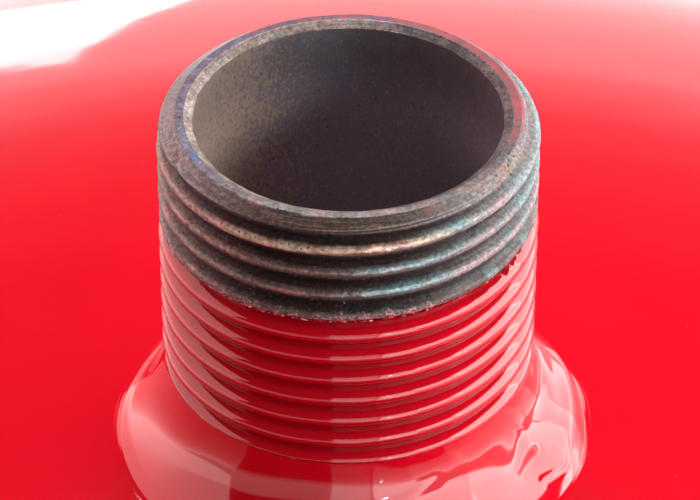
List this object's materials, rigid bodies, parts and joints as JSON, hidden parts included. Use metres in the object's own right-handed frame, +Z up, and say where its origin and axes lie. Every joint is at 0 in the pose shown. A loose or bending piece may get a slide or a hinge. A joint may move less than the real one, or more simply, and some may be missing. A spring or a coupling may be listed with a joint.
{
  "type": "expansion tank",
  "caption": "Upright steel expansion tank with domed ends, a rolled girth ring, a threaded pipe nipple on top, three feet and a covered gas valve underneath.",
  "frame": {"origin": "on the floor, on the tank's axis, level with the underside of the three feet", "axes": "+Z up along the tank's axis to the water connection; +Y towards the single rear foot, so the picture's camera looks from -Y"},
  "size_m": [0.406, 0.406, 0.6292],
  "materials": {
    "red_paint": "gloss",
    "bare_steel": "heat tinted, as machined",
    "rubber": "matt",
    "brass": "turned",
    "spring_steel": "drawn wire",
    "white_plastic": "smooth",
    "black_plastic": "moulded"
  },
  "bodies": {
    "tank": {"upper_shell": "red_paint", "lower_shell": "red_paint", "clench_ring": "red_paint", "diaphragm": "rubber", "pipe_nipple": "bare_steel", "nipple_weld": "red_paint", "valve_boss": "red_paint", "valve_boss_weld": "red_paint", "valve_stem": "brass", "valve_o_ring": "rubber", "valve_core_barrel": "brass", "valve_core_gasket": "white_plastic", "valve_core_spring": "spring_steel", "valve_cap": "brass", "valve_cap_seal": "rubber", "foot_1": "red_paint", "foot_weld_1": "red_paint", "foot_2": "red_paint", "foot_weld_2": "red_paint", "foot_3": "red_paint", "foot_weld_3": "red_paint"},
    "cover": {"valve_cover": "black_plastic"},
    "core_pin": {"valve_core_pin": "brass", "valve_core_seal": "rubber"}
  },
  "joints": [
    {"name": "cover_pull", "type": "slide", "parent": "tank", "child": "cover", "axis": [0, 0, -1], "range_m": [0, 0.03]},
    {"name": "valve_press", "type": "slide", "parent": "tank", "child": "core_pin", "axis": [0, 0, 1], "range_m": [0, 0.0015], "stiffness_N_per_m": 400, "springref_m": -0.002, "deforming": ["valve_core_spring"]}
  ]
}
